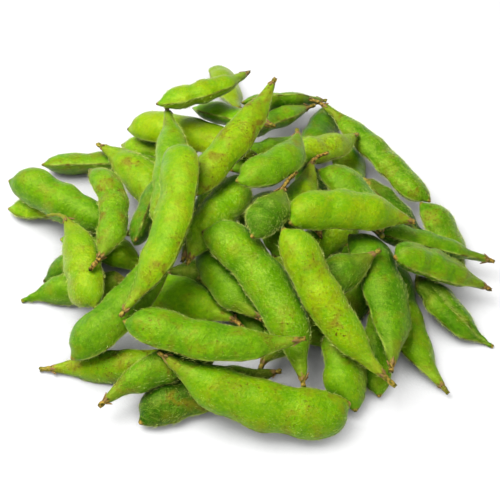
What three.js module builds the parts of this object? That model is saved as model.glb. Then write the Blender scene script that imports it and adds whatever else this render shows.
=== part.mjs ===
// Edamame pod bundle: a heap of whole soybean pods lying loose on a table, each pod one solid.
// Millimetres, +Z up. The heap's near side faces -Y.

import * as THREE from "three";

// The pod
const SIDES = 10; // corners round a section, two of them on the seams
const NECK = 1.1; // half width where the pod leaves its calyx
const SHOULDER = 27; // usual way from the calyx to the full width
const SHOULDER_PART = 0.5; // it is never more than this part of a short pod
const SHOULDER_POWER = 1.9; // above 1 makes the shoulder fuller
const THICKNESS = 0.74; // of the width, at the middle of a bean
const HOLLOW = 0.22; // part of the thickness lost between two beans
const WAIST = 0.08; // part of the width lost between two beans
const KEEL = 0.1; // how far the cheeks draw in towards the seams
const BEANS_FROM = 2; // the beans begin this far along, and a part of the length more
const BEANS_FROM_PART = 0.12;
const BEANS_TO = 3; // they end this far before the blunt end
const BEAN_SPREAD = 0.4; // of the way from bean to bean
const TIP_ROUND = 8; // the way over which the blunt end closes
const TIP_POWER = 2.6; // above 2 makes it blunter than an ellipse
const BEAK = 1.3; // the dry point past the blunt end
const BEAK_ROOT = 1;
const BEAK_END = 0.4;
const BEAK_FLAT = 0.85; // its thickness, of its width
const BEAK_SHIFT = 0.45; // of the half width, towards the upper seam
const NECK_FLAT = 0.9; // the neck's thickness, of its width
const CALYX = 1.4; // half width of the dry calyx
const CALYX_FROM = 1.5; // it stands out of the pod up to here, and is gone at CALYX_TO
const CALYX_TO = 3.4;
const CALYX_RINGS = [-0.4, 1.2, 3];
const BODY_FROM = 6.5; // evenly spaced rings of corners from here to BODY_TO before the blunt end
const BODY_TO = 5.5;
const TIP_RINGS = [2.2, 0.4]; // before the blunt end
const STRAIGHTEST = 0.2; // least bow, as a straight line has no radius
const STALK_ROOT = 0.85;
const STALK_END = 0.75;
const STALK = 2.4; // usual length of the stalk left on a pod

const DEEP_GREEN = 0x5d8f22;
const FRESH_GREEN = 0x93b93c;

// The heap, laid out as it is seen from the eye
const EYE_DISTANCE = 380;
const EYE_HEIGHT = THREE.MathUtils.degToRad(50);
const HEAP_TOP = 34; // height of the topmost pods' middles
const HEAP_TOP_Y = 20; // it stands behind the middle, and the far side is steeper
const HEAP_HALF_X = 98;
const HEAP_NEAR = 112;
const HEAP_FAR = 74;
const TABLE_LAYER = 5; // height of the middles of the pods that lie on the table
const GAP = 0.36; // pods stop this far from each other
const PRESS = 0.6; // how far the lowest pods are flattened by the table
const SLOPE_STEP = 4; // the heap's slope is measured over twice this
const SIGHT_ROUNDS = 40;
const GOLDEN = 0.618; // spreads the pods' greens

// How the heap settles
const LIFT = 2; // the pods start this many times too high
const STEPS = 600;
const LAST_STEPS = 120; // with nothing left but the contacts
const DROP = 0.2; // fall of a step, at first
const HOLD = 0.08; // part of the drift from its line of sight that a pod makes good in a step
const HOLD_TURN = 0.03;
const EASE = 0.45; // part of each push that a step takes
const TURN_ARM = 15; // a pod turns as if its weight stood this far from its middle
const PROBE_RINGS = 26;
const PROBE_SIDES = 12;
const TABLE_STEP = 0.5; // spacing of the sections a pod is measured by

// One line a pod. stem and tip are where its two ends are seen, to the right and up across the
// line of sight, under is how deep it lies in the heap, bow is how far its middle stands off the
// straight line to the left of the way from stem to tip, and roll turns it on its long axis. rise
// is how much higher than the heap's slope the stem end lies.
const PODS = [
  // the back and the left
  { beans: 3, width: 14.5, stem: [-45, -21], tip: [-26.5, 37], under: -4, bow: -8, roll: -15 },
  { beans: 3, width: 13, stem: [8, 60], tip: [-22, 21.5], under: 4, rise: 14, bow: 2, roll: 0 },
  { beans: 3, width: 12, stem: [-2, 63.5], tip: [-33, 53], under: -2, rise: 4, bow: 4.5, roll: 0 },
  { beans: 2, width: 11.5, stem: [-4, 51], tip: [-10.5, 64], under: 9, rise: 3, bow: 1, roll: 20 },
  { beans: 3, width: 13.5, stem: [3, 33.5], tip: [-43, 45.5], under: 6, bow: -2.5, roll: -20 },
  { beans: 2, width: 12, stem: [-19, 36], tip: [-45, 38], under: 12, bow: 2, roll: 0 },
  { beans: 3, width: 12, stem: [-28, 36], tip: [-73, 25], under: 7, bow: -2.5, roll: 40 },
  { beans: 3, width: 12.5, stem: [-30, 50], tip: [-33, 6], under: 4, rise: 5, bow: 2, roll: 0 },
  { beans: 3, width: 13.5, stem: [-44, 12.5], tip: [-81, 20.5], under: 3, bow: 1, roll: -20 },
  { beans: 2, width: 11.5, stem: [-63, 16], tip: [-86, 15], under: 8, bow: 1, roll: 10 },
  { beans: 2, width: 11, stem: [-48, 1], tip: [-73, -13], under: 10, bow: 1, roll: 0 },
  { beans: 3, width: 10, stem: [-52, -5], tip: [-56, 31], under: 0, bow: -6, roll: 20, shoulder: 12, stalk: 6 },
  { beans: 3, width: 14, stem: [-52, 35.5], tip: [-29, 12], under: 6, bow: 3, roll: 0 },
  { beans: 2, width: 12, stem: [-29, 31], tip: [-45, 2], under: 5, bow: -2, roll: 60 },
  { beans: 3, width: 13.5, stem: [-65, 9], tip: [-57, -23], under: 4, bow: 2, roll: 0, stalk: 7, hook: -5 },
  { beans: 2, width: 11.5, stem: [-38, -8], tip: [-68, 2], under: 11, bow: -2, roll: 0 },
  { beans: 2, width: 11.5, stem: [-80, -13.5], tip: [-46, -9], under: 8, bow: 2, roll: 20 },
  { beans: 3, width: 15, stem: [-29.5, 5.5], tip: [-65.5, -36.5], under: -2.5, bow: 5, roll: 0 },
  // the near side
  { beans: 3, width: 11.5, stem: [-71, -43.5], tip: [-21, -43], under: 2, bow: 0.5, roll: 20, stalk: 4 },
  { beans: 3, width: 10.5, stem: [-51, -57], tip: [-9, -39.5], under: 7, bow: 3, roll: 20 },
  { beans: 3, width: 13.5, stem: [9, -43.5], tip: [-42, -56.5], under: 8, bow: -1, roll: 0 },
  { beans: 3, width: 15.5, stem: [-29.5, -33.5], tip: [36, -61.5], under: -6, bow: -5.5, roll: 0 },
  { beans: 3, width: 13, stem: [17, -31], tip: [-44, -27], under: -5.5, bow: 5, roll: 10 },
  { beans: 3, width: 14.5, stem: [-3, -24], tip: [-45, -13], under: 2, bow: -2, roll: 0, stalk: 6, hook: 3 },
  { beans: 2, width: 13.5, stem: [3, -26], tip: [-15, 3], under: 7, bow: 2, roll: 0 },
  { beans: 2, width: 12, stem: [-13, -12], tip: [12, -35], under: 11, bow: 1, roll: 0, stalk: 6 },
  { beans: 3, width: 13, stem: [-21, -6], tip: [0, 25], under: 4.5, bow: 2, roll: 20, shoulder: 14 },
  { beans: 3, width: 14.5, stem: [19, -48], tip: [-15, 10], under: -3, bow: -6.5, roll: 0 },
  { beans: 3, width: 12.5, stem: [48, -45], tip: [15, 9], under: -6, bow: 3.5, roll: -20, stalk: 5 },
  { beans: 2, width: 14, stem: [31.5, -20], tip: [37, -58], under: 6, bow: 1, roll: 0 },
  { beans: 2, width: 10.5, stem: [43.5, -22], tip: [40.5, -54], under: 9, bow: 1, roll: 20 },
  { beans: 2, width: 12, stem: [30, -38], tip: [2, -10], under: 13, bow: 2, roll: 0 },
  { beans: 2, width: 12, stem: [-30, -8], tip: [-2, -13], under: 13, bow: 1, roll: 0 },
  { beans: 2, width: 11, stem: [4, -41], tip: [21, -26], under: 10, bow: 2, roll: 0 },
  // the right
  { beans: 3, width: 14, stem: [57, 10], tip: [13, 13], under: 0, bow: -3, roll: -10, shoulder: 18, stalk: 1.5 },
  { beans: 2, width: 13, stem: [5, -6], tip: [40, 11], under: 6.5, bow: -1, roll: 0 },
  { beans: 2, width: 13.5, stem: [45, -3.5], tip: [15, -16], under: 5, rise: 3, bow: 1, roll: 0 },
  { beans: 3, width: 15, stem: [49.5, -44], tip: [44, 10], under: 3, bow: -4.5, roll: 0 },
  { beans: 3, width: 14, stem: [69.5, -51], tip: [48.5, -2], under: 9, bow: 4.5, roll: 0, stalk: 3 },
  { beans: 2, width: 12, stem: [38, -29], tip: [41, 2], under: 9, bow: -1, roll: 0 },
  { beans: 3, width: 11.5, stem: [83, -3], tip: [44, 8], under: 5, bow: -1, roll: 40 },
  { beans: 3, width: 13.5, stem: [84, -14], tip: [50, -1], under: -2, bow: -1.5, roll: 20 },
  { beans: 2, width: 12.5, stem: [84, -32.5], tip: [59.5, -9], under: 8, bow: 3, roll: 0 },
  { beans: 2, width: 13, stem: [75, -12], tip: [63.5, 15.5], under: 7, bow: -1, roll: 0, stalk: 2 },
  { beans: 2, width: 12, stem: [63, 5], tip: [40, 26.5], under: 6, bow: 0.5, roll: 40 },
  { beans: 4, width: 11.5, stem: [26, 53], tip: [63.5, 16], under: 1, bow: 2, roll: 10, stalk: 6, hook: -2 },
  { beans: 2, width: 10.5, stem: [26, 54], tip: [-4, 52], under: 5, bow: 1, roll: 50 },
  { beans: 2, width: 11, stem: [21, 51.5], tip: [-5, 42], under: 5, bow: -1, roll: 20, shoulder: 10, stalk: 4 },
  { beans: 2, width: 12, stem: [20, 34], tip: [31, 49], under: 9, bow: 1, roll: 0 },
  { beans: 2, width: 12.5, stem: [38, 41], tip: [14, 35], under: 0, rise: -4, bow: 2, roll: 0, stalk: 2 },
  { beans: 2, width: 13, stem: [39, 12], tip: [35, 40], under: 10, bow: 1, roll: 0 },
  { beans: 2, width: 13.5, stem: [17, 42], tip: [-5, 27.5], under: 0, bow: 6, roll: 0, stalk: 2 },
  { beans: 3, width: 12, stem: [22, 31.5], tip: [6, -1], under: 3, bow: 2, roll: 0, stalk: 6, hook: 5 },
  { beans: 2, width: 12, stem: [25, 6], tip: [22, 32], under: 6, bow: 1, roll: 0 },
  { beans: 2, width: 13.5, stem: [46, 3], tip: [27, 31], under: 5, bow: -3, roll: 0 },
  { beans: 2, width: 13, stem: [12, 22], tip: [-1, 7], under: 0, bow: 2, roll: 0, stalk: 7, hook: 4 },
  { beans: 2, width: 13, stem: [14, 22], tip: [-6, 9.5], under: 13, bow: 1, roll: 0 },
  { beans: 2, width: 12, stem: [-24, -3], tip: [-7, 28], under: 10, bow: 1, roll: 0 },
  { beans: 3, width: 14, stem: [30, 38], tip: [-9, 31], under: 10, bow: -1, roll: 0 },
  { beans: 2, width: 12, stem: [7, 45], tip: [-19, 51], under: 6, bow: 1, roll: 20 },
];

const clamp = THREE.MathUtils.clamp;
const smooth = (value, from, to) => THREE.MathUtils.smoothstep(value, from, to);

// One pod.

// A pod's middle line is an arc in its own XY plane, from the stem at -X to the tip at +X.
function makeArc(chord, bow) {
  const offset = Math.abs(bow) < STRAIGHTEST ? STRAIGHTEST : bow;
  const radius = (chord * chord / 4 + offset * offset) / (2 * offset);
  const length = 2 * radius * Math.asin(chord / 2 / radius);
  return { radius, offset, length };
}

// The place on the arc at a way along it, moved out to the left and up.
function onArc(arc, along, left, up) {
  const angle = (along - arc.length / 2) / arc.radius;
  const reach = arc.radius + left;
  return [reach * Math.sin(angle), arc.offset - arc.radius + reach * Math.cos(angle), up];
}

// The section at a way along the pod: half width, half thickness and the middle's shift to the left.
function section(pod, along) {
  const { beans, width, arc, shoulder, stalk, hook } = pod;
  const end = arc.length;
  if (along < 0) {
    const out = -along / stalk;
    const half = THREE.MathUtils.lerp(STALK_ROOT, STALK_END, clamp(out, 0, 1));
    return { wide: half, thick: half, shift: hook * out * out };
  }
  const blunt = end - BEAK;
  const first = BEANS_FROM + BEANS_FROM_PART * end;
  const pitch = (blunt - BEANS_TO - first) / beans;
  let bean = 0;
  for (let i = 0; i < beans; i += 1) {
    const off = (along - first - (i + 0.5) * pitch) / (BEAN_SPREAD * pitch);
    bean += Math.exp(-off * off);
  }
  bean = Math.min(bean, 1);
  const toFull = clamp(along / Math.min(shoulder, SHOULDER_PART * end), 0, 1);
  const rise = 1 - (1 - toFull) ** SHOULDER_POWER;
  const past = clamp((along - blunt + TIP_ROUND) / TIP_ROUND, 0, 1);
  const fall = Math.sqrt(1 - past ** TIP_POWER);
  const beak = THREE.MathUtils.lerp(BEAK_ROOT, BEAK_END, clamp((along - blunt) / BEAK, 0, 1));
  const calyx = CALYX * (1 - smooth(along, CALYX_FROM, CALYX_TO));
  const neck = NECK * (1 - past);
  const full = width / 2 * rise * fall;
  const wide = Math.max(full * (1 - WAIST * (1 - bean)), neck, beak * past, calyx);
  const thick = Math.max(
    full * THICKNESS * (1 - HOLLOW * (1 - bean)),
    neck * NECK_FLAT,
    beak * past * BEAK_FLAT,
    calyx,
  );
  return { wide, thick, shift: BEAK_SHIFT * width / 2 * smooth(along, blunt - TIP_ROUND, end) };
}

// The ways along the pod at which it has a ring of corners.
function ringPlaces(pod) {
  const { beans, arc, stalk, hook } = pod;
  const blunt = arc.length - BEAK;
  const places = hook === 0 ? [-stalk, ...CALYX_RINGS] : [-stalk, -stalk / 2, ...CALYX_RINGS];
  const last = blunt - BODY_TO;
  const steps = 2 * beans + 1;
  for (let i = 0; i <= steps; i += 1) {
    places.push(BODY_FROM + (last - BODY_FROM) * i / steps);
  }
  places.push(...TIP_RINGS.map((before) => blunt - before), arc.length);
  return places;
}

function ring(pod, along, sides) {
  const { wide, thick, shift } = section(pod, along);
  const corners = [];
  for (let i = 0; i < sides; i += 1) {
    const angle = 2 * Math.PI * i / sides;
    const cheek = 1 - KEEL * Math.cos(angle) ** 2;
    corners.push(onArc(pod.arc, along, shift + wide * Math.cos(angle), thick * cheek * Math.sin(angle)));
  }
  return corners;
}

function podGeometry(pod) {
  const rings = ringPlaces(pod).map((along) => ring(pod, along, SIDES));
  const positions = rings.flat(2);
  const triangles = [];
  const corner = (row, side) => row * SIDES + side % SIDES;
  for (let row = 0; row + 1 < rings.length; row += 1) {
    for (let side = 0; side < SIDES; side += 1) {
      triangles.push(corner(row, side), corner(row, side + 1), corner(row + 1, side + 1));
      triangles.push(corner(row, side), corner(row + 1, side + 1), corner(row + 1, side));
    }
  }
  for (let side = 1; side + 1 < SIDES; side += 1) {
    triangles.push(corner(0, 0), corner(0, side + 1), corner(0, side));
    const top = rings.length - 1;
    triangles.push(corner(top, 0), corner(top, side), corner(top, side + 1));
  }
  const geometry = new THREE.BufferGeometry();
  geometry.setAttribute("position", new THREE.Float32BufferAttribute(positions, 3));
  geometry.setIndex(triangles);
  return geometry;
}

// The heap.

const eye = new THREE.Vector3(0, -Math.cos(EYE_HEIGHT), Math.sin(EYE_HEIGHT)).multiplyScalar(EYE_DISTANCE);
const sightUp = new THREE.Vector3(0, Math.sin(EYE_HEIGHT), Math.cos(EYE_HEIGHT));

function heapHeight(x, y) {
  const fromTop = y - HEAP_TOP_Y;
  const fall = (x / HEAP_HALF_X) ** 2 + (fromTop / (fromTop > 0 ? HEAP_FAR : HEAP_NEAR)) ** 2;
  return Math.max(TABLE_LAYER, HEAP_TOP * (1 - fall));
}

function heapNormal(x, y) {
  const fallX = heapHeight(x - SLOPE_STEP, y) - heapHeight(x + SLOPE_STEP, y);
  const fallY = heapHeight(x, y - SLOPE_STEP) - heapHeight(x, y + SLOPE_STEP);
  return new THREE.Vector3(fallX, fallY, 2 * SLOPE_STEP).normalize();
}

// Where the line of sight to a place in the view meets the heap, some way under its surface.
function onHeap([right, up], under) {
  const seen = sightUp.clone().multiplyScalar(up).setX(right);
  const place = new THREE.Vector3();
  let height = TABLE_LAYER;
  for (let i = 0; i < SIGHT_ROUNDS; i += 1) {
    place.lerpVectors(eye, seen, (eye.z - height) / (eye.z - seen.z));
    const wanted = Math.max(TABLE_LAYER, heapHeight(place.x, place.y) - under);
    height = (height + wanted) / 2;
  }
  return place;
}

function layPod(row, index) {
  const stem = onHeap(row.stem, row.under - (row.rise ?? 0));
  const tip = onHeap(row.tip, row.under);
  const middle = stem.clone().lerp(tip, 0.5);
  const alongAxis = tip.clone().sub(stem).normalize();
  const leftAxis = heapNormal(middle.x, middle.y).cross(alongAxis).normalize();
  const upAxis = alongAxis.clone().cross(leftAxis);
  const lying = new THREE.Quaternion().setFromRotationMatrix(
    new THREE.Matrix4().makeBasis(alongAxis, leftAxis, upAxis),
  );
  const rolled = new THREE.Quaternion().setFromAxisAngle(
    new THREE.Vector3(1, 0, 0),
    THREE.MathUtils.degToRad(row.roll),
  );
  const name = `pod_${String(index + 1).padStart(2, "0")}`;
  const pod = { shoulder: SHOULDER, stalk: STALK, hook: 0, ...row, name };
  pod.arc = makeArc(stem.distanceTo(tip), row.bow);
  pod.place = middle;
  pod.turn = lying.multiply(rolled);
  return pod;
}

const pods = PODS.map(layPod);

// Settling: the pods fall, keep to their lines of sight and push each other apart.

// Each pod gets points on its skin, and its sections in a table.
function measurePod(pod) {
  const from = -pod.stalk;
  const way = pod.arc.length - from;
  pod.points = [];
  for (let i = 0; i <= PROBE_RINGS; i += 1) {
    pod.points.push(...ring(pod, from + way * i / PROBE_RINGS, PROBE_SIDES));
  }
  pod.sections = [];
  for (let along = from; along <= pod.arc.length; along += TABLE_STEP) {
    pod.sections.push(section(pod, along));
  }
  pod.reach = Math.max(...pod.points.map((point) => Math.hypot(...point)));
  pod.home = pod.place.clone();
  pod.homeTurn = pod.turn.clone();
  pod.sight = pod.place.clone().sub(eye).normalize();
  pod.place.addScaledVector(pod.sight, (LIFT - 1) * pod.place.z / pod.sight.z);
  pod.push = new THREE.Vector3();
  pod.spin = new THREE.Vector3();
}

// How deep a point, in the pod's own frame, is inside the pod and its gap, and which way is out.
function depthInside(pod, x, y, z) {
  const { arc, sections, stalk } = pod;
  const side = Math.sign(arc.radius);
  const reachY = y - arc.offset + arc.radius;
  const left = side * Math.hypot(x, reachY) - arc.radius;
  const angle = Math.atan2(side * x, side * reachY);
  const row = (arc.radius * angle + arc.length / 2 + stalk) / TABLE_STEP;
  const index = Math.floor(row);
  if (index < 0 || index + 1 >= sections.length) {
    return null;
  }
  const near = sections[index];
  const far = sections[index + 1];
  const part = row - index;
  const wide = near.wide + part * (far.wide - near.wide) + GAP;
  const thick = near.thick + part * (far.thick - near.thick) + GAP;
  const off = left - near.shift - part * (far.shift - near.shift);
  const size = Math.hypot(off / wide, z / thick);
  if (size >= 1 || size < 0.01) {
    return null;
  }
  const outLeft = off / wide ** 2 / size;
  const outUp = z / thick ** 2 / size;
  const slopeWide = off ** 2 / wide ** 3 * (far.wide - near.wide);
  const slopeThick = z ** 2 / thick ** 3 * (far.thick - near.thick);
  const outAlong = -(slopeWide + slopeThick) / size / TABLE_STEP;
  const steepness = Math.hypot(outLeft, outUp, outAlong);
  const out = new THREE.Vector3(
    outLeft * Math.sin(angle) + outAlong * Math.cos(angle),
    outLeft * Math.cos(angle) - outAlong * Math.sin(angle),
    outUp,
  );
  return { depth: (1 - size) / steepness, out: out.divideScalar(steepness) };
}

// The deepest point of one pod inside another, or nothing if they are clear.
function deepestContact(pod, other) {
  const toOther = other.turn.clone().invert();
  const turn = new THREE.Matrix4().makeRotationFromQuaternion(toOther).elements;
  let deepest = null;
  for (const point of pod.worldPoints) {
    const dx = point.x - other.place.x;
    const dy = point.y - other.place.y;
    const dz = point.z - other.place.z;
    const z = turn[2] * dx + turn[6] * dy + turn[10] * dz;
    if (Math.abs(z) > other.width / 2) {
      continue;
    }
    const x = turn[0] * dx + turn[4] * dy + turn[8] * dz;
    const y = turn[1] * dx + turn[5] * dy + turn[9] * dz;
    const inside = depthInside(other, x, y, z);
    if (inside && (!deepest || inside.depth > deepest.depth)) {
      deepest = { ...inside, point };
    }
  }
  if (deepest) {
    deepest.out.applyQuaternion(other.turn);
  }
  return deepest;
}

function pushPod(pod, lever, out, amount) {
  pod.push.addScaledVector(out, amount);
  pod.spin.addScaledVector(lever.cross(out), amount / TURN_ARM ** 2);
}

function ease(pod, out, point) {
  const lever = point.clone().sub(pod.place);
  const swing = lever.clone().cross(out).lengthSq() / TURN_ARM ** 2;
  return { lever, give: 1 + swing };
}

function pushApart(pod, other) {
  const contact = deepestContact(pod, other);
  if (!contact) {
    return;
  }
  const mine = ease(pod, contact.out, contact.point);
  const theirs = ease(other, contact.out, contact.point);
  const amount = contact.depth / (mine.give + theirs.give);
  pushPod(pod, mine.lever, contact.out, amount);
  pushPod(other, theirs.lever, contact.out, -amount);
}

// The lowest point of each half of a pod is lifted back to the table.
function pushOffTable(pod) {
  const middle = pod.points.length / 2;
  for (const half of [pod.worldPoints.slice(0, middle), pod.worldPoints.slice(middle)]) {
    const lowest = half.reduce((low, point) => (point.z < low.z ? point : low));
    if (lowest.z < 0) {
      const up = new THREE.Vector3(0, 0, 1);
      const { lever, give } = ease(pod, up, lowest);
      pushPod(pod, lever, up, -lowest.z / give);
    }
  }
}

function holdPod(pod, hold, holdTurn) {
  const drift = pod.home.clone().sub(pod.place);
  drift.addScaledVector(pod.sight, -drift.dot(pod.sight));
  pod.push.addScaledVector(drift, hold);
  pod.turn.slerp(pod.homeTurn, holdTurn);
}

function movePod(pod, drop) {
  pod.place.addScaledVector(pod.push, EASE);
  pod.place.z -= drop;
  const angle = pod.spin.length() * EASE;
  if (angle > 0) {
    const turn = new THREE.Quaternion().setFromAxisAngle(pod.spin.clone().normalize(), angle);
    pod.turn.premultiply(turn).normalize();
  }
  pod.push.set(0, 0, 0);
  pod.spin.set(0, 0, 0);
}

function settle() {
  pods.forEach(measurePod);
  for (let step = 0; step < STEPS + LAST_STEPS; step += 1) {
    const left = Math.max(0, 1 - step / STEPS);
    for (const pod of pods) {
      pod.worldPoints = pod.points.map((point) =>
        new THREE.Vector3(...point).applyQuaternion(pod.turn).add(pod.place));
    }
    for (const pod of pods) {
      for (const other of pods) {
        if (other !== pod && pod.place.distanceTo(other.place) < pod.reach + other.reach) {
          pushApart(pod, other);
        }
      }
      pushOffTable(pod);
      if (left > 0) {
        holdPod(pod, HOLD, HOLD_TURN);
      }
    }
    for (const pod of pods) {
      movePod(pod, DROP * left);
    }
  }
}

settle();

// The solids.

// Where a pod reaches down to the table, its lowest corners are pressed flat.
function pressOnTable(geometry) {
  const corners = geometry.attributes.position;
  for (let i = 0; i < corners.count; i += 1) {
    corners.setZ(i, Math.max(PRESS, corners.getZ(i)));
  }
}

function podMesh(pod, index) {
  const geometry = podGeometry(pod);
  geometry.applyMatrix4(new THREE.Matrix4().compose(pod.place, pod.turn, new THREE.Vector3(1, 1, 1)));
  pressOnTable(geometry);
  const green = new THREE.Color(DEEP_GREEN).lerp(new THREE.Color(FRESH_GREEN), (index * GOLDEN) % 1);
  const skin = new THREE.MeshStandardMaterial({ color: green, roughness: 0.6, metalness: 0 });
  const mesh = new THREE.Mesh(geometry, skin);
  mesh.name = pod.name;
  return mesh;
}

const bundle = new THREE.Group();
bundle.add(...pods.map(podMesh));
const middle = new THREE.Box3().setFromObject(bundle).getCenter(new THREE.Vector3());
bundle.position.set(-middle.x, -middle.y, -PRESS);

export default bundle;
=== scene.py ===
# Edamame pod bundle. Settings are in millimetres, degrees and watts, and the meshes in metres.
import math
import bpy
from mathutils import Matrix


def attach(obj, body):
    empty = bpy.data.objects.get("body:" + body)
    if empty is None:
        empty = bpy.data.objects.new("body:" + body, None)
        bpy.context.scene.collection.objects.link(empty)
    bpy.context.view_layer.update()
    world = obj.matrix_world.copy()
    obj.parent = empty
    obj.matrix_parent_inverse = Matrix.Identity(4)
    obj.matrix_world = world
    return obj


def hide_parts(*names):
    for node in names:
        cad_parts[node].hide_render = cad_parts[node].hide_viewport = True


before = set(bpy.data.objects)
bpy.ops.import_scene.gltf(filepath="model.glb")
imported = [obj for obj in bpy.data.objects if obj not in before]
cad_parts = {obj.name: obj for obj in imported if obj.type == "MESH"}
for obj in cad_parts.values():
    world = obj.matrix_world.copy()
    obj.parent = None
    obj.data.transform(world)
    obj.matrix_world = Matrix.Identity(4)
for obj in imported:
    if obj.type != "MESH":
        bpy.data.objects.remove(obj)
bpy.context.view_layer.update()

from types import SimpleNamespace

import bmesh
import bpy
import numpy as np
from mathutils import Vector

mm = 0.001

bpy.ops.object.select_all(action="DESELECT")


def linearColor(hexText):
    parts = [int(hexText[i:i + 2], 16) / 255 for i in (1, 3, 5)]
    return tuple(p / 12.92 if p <= 0.04045 else ((p + 0.055) / 1.055) ** 2.4 for p in parts) + (1,)


cameraSettings = {
    "target": (2.16, -9.06, -0.6),
    "distance": 380,
    "lookDown": 50,  # degrees under the horizon
    "lens": 76,
    "sensor": 36,
    "nearest": 10,  # nothing nearer than this is drawn
}


def makeCamera(settings):
    down = math.radians(settings["lookDown"])
    target = Vector(settings["target"]) * mm
    back = Vector((0, -math.cos(down), math.sin(down))) * settings["distance"] * mm
    bpy.ops.object.camera_add(location=target + back)
    camera = bpy.context.object
    camera.rotation_euler = (-back).to_track_quat("-Z", "Y").to_euler()
    camera.data.lens = settings["lens"]
    camera.data.sensor_width = settings["sensor"]
    camera.data.clip_start = settings["nearest"] * mm
    bpy.context.scene.camera = camera


makeCamera(cameraSettings)

lightSettings = {
    "sky": 0.3,
    "softKey": {"place": (-250, 30, 570), "size": 420, "power": 7.9},  # high up on the left
    "frontFill": {"place": (160, -520, 420), "size": 500, "power": 1.7},
    "aim": (0, 0, 20),
}


def addLight(name, settings):
    bpy.ops.object.light_add(type="AREA", location=Vector(settings[name]["place"]) * mm)
    lamp = bpy.context.object
    lamp.name = name
    lamp.data.size = settings[name]["size"] * mm
    lamp.data.energy = settings[name]["power"]
    aim = Vector(settings["aim"]) * mm - lamp.location
    lamp.rotation_euler = aim.to_track_quat("-Z", "Y").to_euler()


for lampName in ("softKey", "frontFill"):
    addLight(lampName, lightSettings)
world = bpy.data.worlds.new("studio")
bpy.context.scene.world = world
world.use_nodes = True
world.node_tree.nodes["Background"].inputs["Color"].default_value = (1, 1, 1, 1)
world.node_tree.nodes["Background"].inputs["Strength"].default_value = lightSettings["sky"]
bpy.context.scene.view_settings.view_transform = "Standard"
print("camera and lights ready")


def addNode(tree, kind, settings=None, links=None):
    # a setting is the node's own, or the value of one of its sockets by name or number
    node = tree.nodes.new(kind)
    for name, value in (settings or {}).items():
        if isinstance(name, str) and hasattr(node, name):
            setattr(node, name, value)
        else:
            node.inputs[name].default_value = value
    for name, source in (links or {}).items():
        tree.links.new(source, node.inputs[name])
    return node


def newMaterial(name):
    material = bpy.data.materials.new(name)
    material.use_nodes = True
    tree = material.node_tree
    return material, tree, tree.nodes["Principled BSDF"]


perMetre = 1000  # a pattern's scale is this over its size in mm

# sizes are in mm and amounts are parts of one; a range is where a pattern sets in and where it is full
skinLook = {
    "greens": ((0.0, "#1a4400"), (0.34, "#3a6b00"), (0.66, "#598700"), (1.0, "#7c9500")),  # deep to ripe
    "patchSize": 8,
    "patchDepth": 0.9,
    "patchStart": 0.01,
    "mottleSize": 1.1,
    "mottleDepth": 0.7,
    "beanGlow": 0.1,  # a pod is riper over its beans
    "toneReach": 0.42,
    "bloom": "#94b03a",
    "bloomSize": 0.6,
    "bloomLength": 3,  # times that
    "bloomRange": (0.5, 0.68),
    "bloomAmount": 0.3,
    "bareDown": 0.4,  # a pod with no more down than this has no bloom
    "smudge": "#69620f",
    "smudgeSize": 4,
    "smudgeRange": (0.44, 0.68),
    "smudgeAmount": 0.8,
    "wornSize": 8,
    "wornRange": (0.4, 0.62),
    "wornLeast": 0.2,
    "freckle": "#472706",
    "freckleSize": 0.9,
    "freckleRange": (0.55, 0.66),
    "neckOlive": "#787b22",
    "neckAmount": 0.3,
    "seamPale": "#8f9f40",
    "seamBrown": "#4c3212",
    "seamSize": 4.5,  # of its brown stretches
    "seamRange": (0.44, 0.6),
    "seamAmount": 0.95,
    "dryDark": "#2b1b08",
    "dryLight": "#9c7a38",
    "drySize": 0.8,
    "dryRange": (0.4, 0.62),
    "stalkGreen": "#717a22",
    "paintedShade": "#008f00",  # painted shade: what is left of the colour in the narrowest gaps
    "paintedShadeReach": 11,
    "paintedShadeRange": (0.15, 0.75),
    "roughness": 0.31,
    "specular": 0.42,
    "waxSheen": "#eeff6e",
    "waxIor": 1.42,
    "downSheen": "#dcec9a",
    "downSheenAmount": 0.05,
    "downSheenRoughness": 0.45,
    "flesh": (0.4, 0.8, 0.1),  # how far red, green and blue light go into the wall, by the depth below
    "fleshDepth": 1.2,
    "fleshAmount": 0.1,
    "veinSize": 1.6,  # from vein to vein
    "veinLength": 2.6,  # times that
    "veinSlant": 0.9,
    "veinDepth": 0.24,
    "veinStrength": 0.7,
    "grainSize": 0.9,
    "grainDepth": 0.36,
    "grainStrength": 0.65,
}

# what each pod's skin says of itself, at every point
skinMarks = (
    "toneAndPaintedLight", "palenessAndPaintedLight", "rub", "downy", "stain", "wither", "seam", "dry", "neck", "bean", "way", "round",
)


def layGreens(tree, look, place, mark):
    # greens in soft patches, mottled, riper over the beans, and shifted by each pod's tone, which is
    # partly painted light and shade
    patches = addNode(tree, "ShaderNodeTexNoise", {
        "Scale": perMetre / look["patchSize"], "Detail": 6.0, "Roughness": 0.66, "Distortion": 0.3,
    }, place)
    ripe = addNode(tree, "ShaderNodeMath", {
        "operation": "MULTIPLY_ADD", 1: look["patchDepth"], 2: look["patchStart"],
    }, {0: patches.outputs["Fac"]})
    mottle = addNode(tree, "ShaderNodeTexNoise", {
        "Scale": perMetre / look["mottleSize"], "Detail": 3.0, "Roughness": 0.6,
    }, place)
    mottle = addNode(tree, "ShaderNodeMath", {"operation": "SUBTRACT", 1: 0.5}, {
        0: mottle.outputs["Fac"],
    })
    for depth, source in (
        (look["mottleDepth"], mottle.outputs[0]),
        (look["beanGlow"], mark["bean"]),
        (look["toneReach"], mark["toneAndPaintedLight"]),
    ):
        ripe = addNode(tree, "ShaderNodeMath", {"operation": "MULTIPLY_ADD", 1: depth}, {
            0: source, 2: ripe.outputs[0],
        })
    skin = addNode(tree, "ShaderNodeValToRGB", links={"Fac": ripe.outputs[0]})
    stops = skin.color_ramp.elements
    for at, green in look["greens"][1:-1]:
        stops.new(at)
    for stop, (at, green) in zip(stops, look["greens"]):
        stop.color = linearColor(green)
    return skin.outputs["Color"]


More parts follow.
